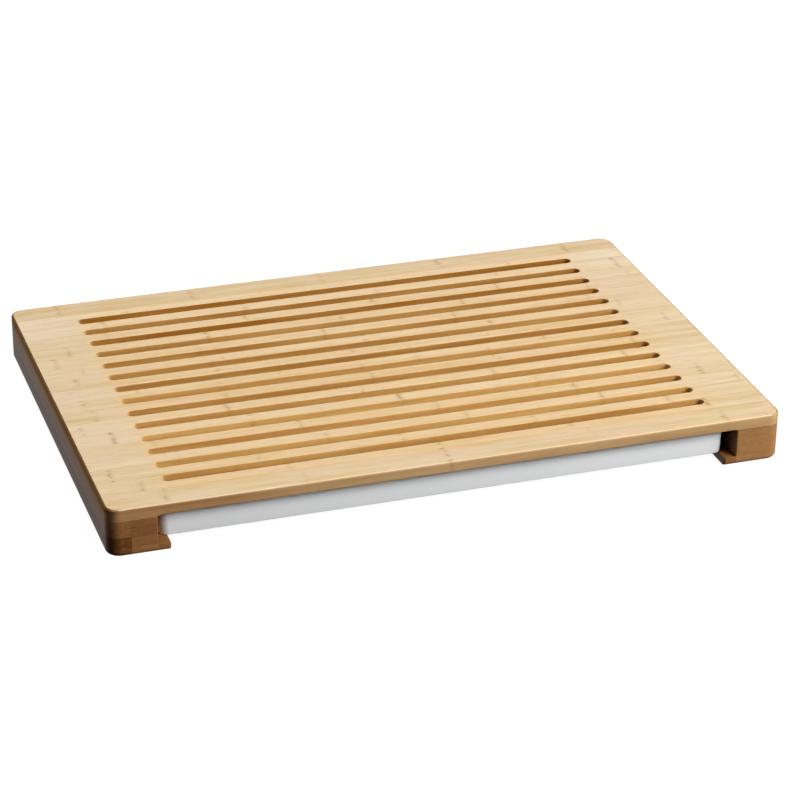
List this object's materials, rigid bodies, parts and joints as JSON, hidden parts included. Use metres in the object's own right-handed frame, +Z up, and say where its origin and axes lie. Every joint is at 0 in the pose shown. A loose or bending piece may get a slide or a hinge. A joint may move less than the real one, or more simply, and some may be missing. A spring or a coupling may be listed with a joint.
{
  "type": "bread board",
  "caption": "Slatted bamboo bread board on side rails, with a plastic crumb tray that slides out from under the slots at the front.",
  "frame": {"origin": "on the surface that the board stands on, under the middle of the board", "axes": "+X to the right along the slots, +Y to the closed rear, so that the tray's mouth faces -Y, +Z up"},
  "size_m": [0.475, 0.322, 0.0345],
  "materials": {
    "bamboo_panel": "oiled bamboo strips, satin",
    "bamboo_rail": "carbonised bamboo laminate, satin",
    "bamboo_runner": "bamboo strip, satin",
    "white_plastic": "moulded, satin",
    "zinc_plated_steel": "zinc plated"
  },
  "bodies": {
    "board": {"slotted_board": "bamboo_panel", "left_rail": "bamboo_rail", "right_rail": "bamboo_rail", "rear_rail": "bamboo_rail", "left_runner": "bamboo_runner", "right_runner": "bamboo_runner", "rail_screws": "zinc_plated_steel"},
    "tray": {"crumb_tray": "white_plastic"}
  },
  "joints": [
    {"name": "tray_slide", "type": "slide", "parent": "board", "child": "tray", "axis": [0, -1, 0], "range_m": [0, 0.3]}
  ]
}
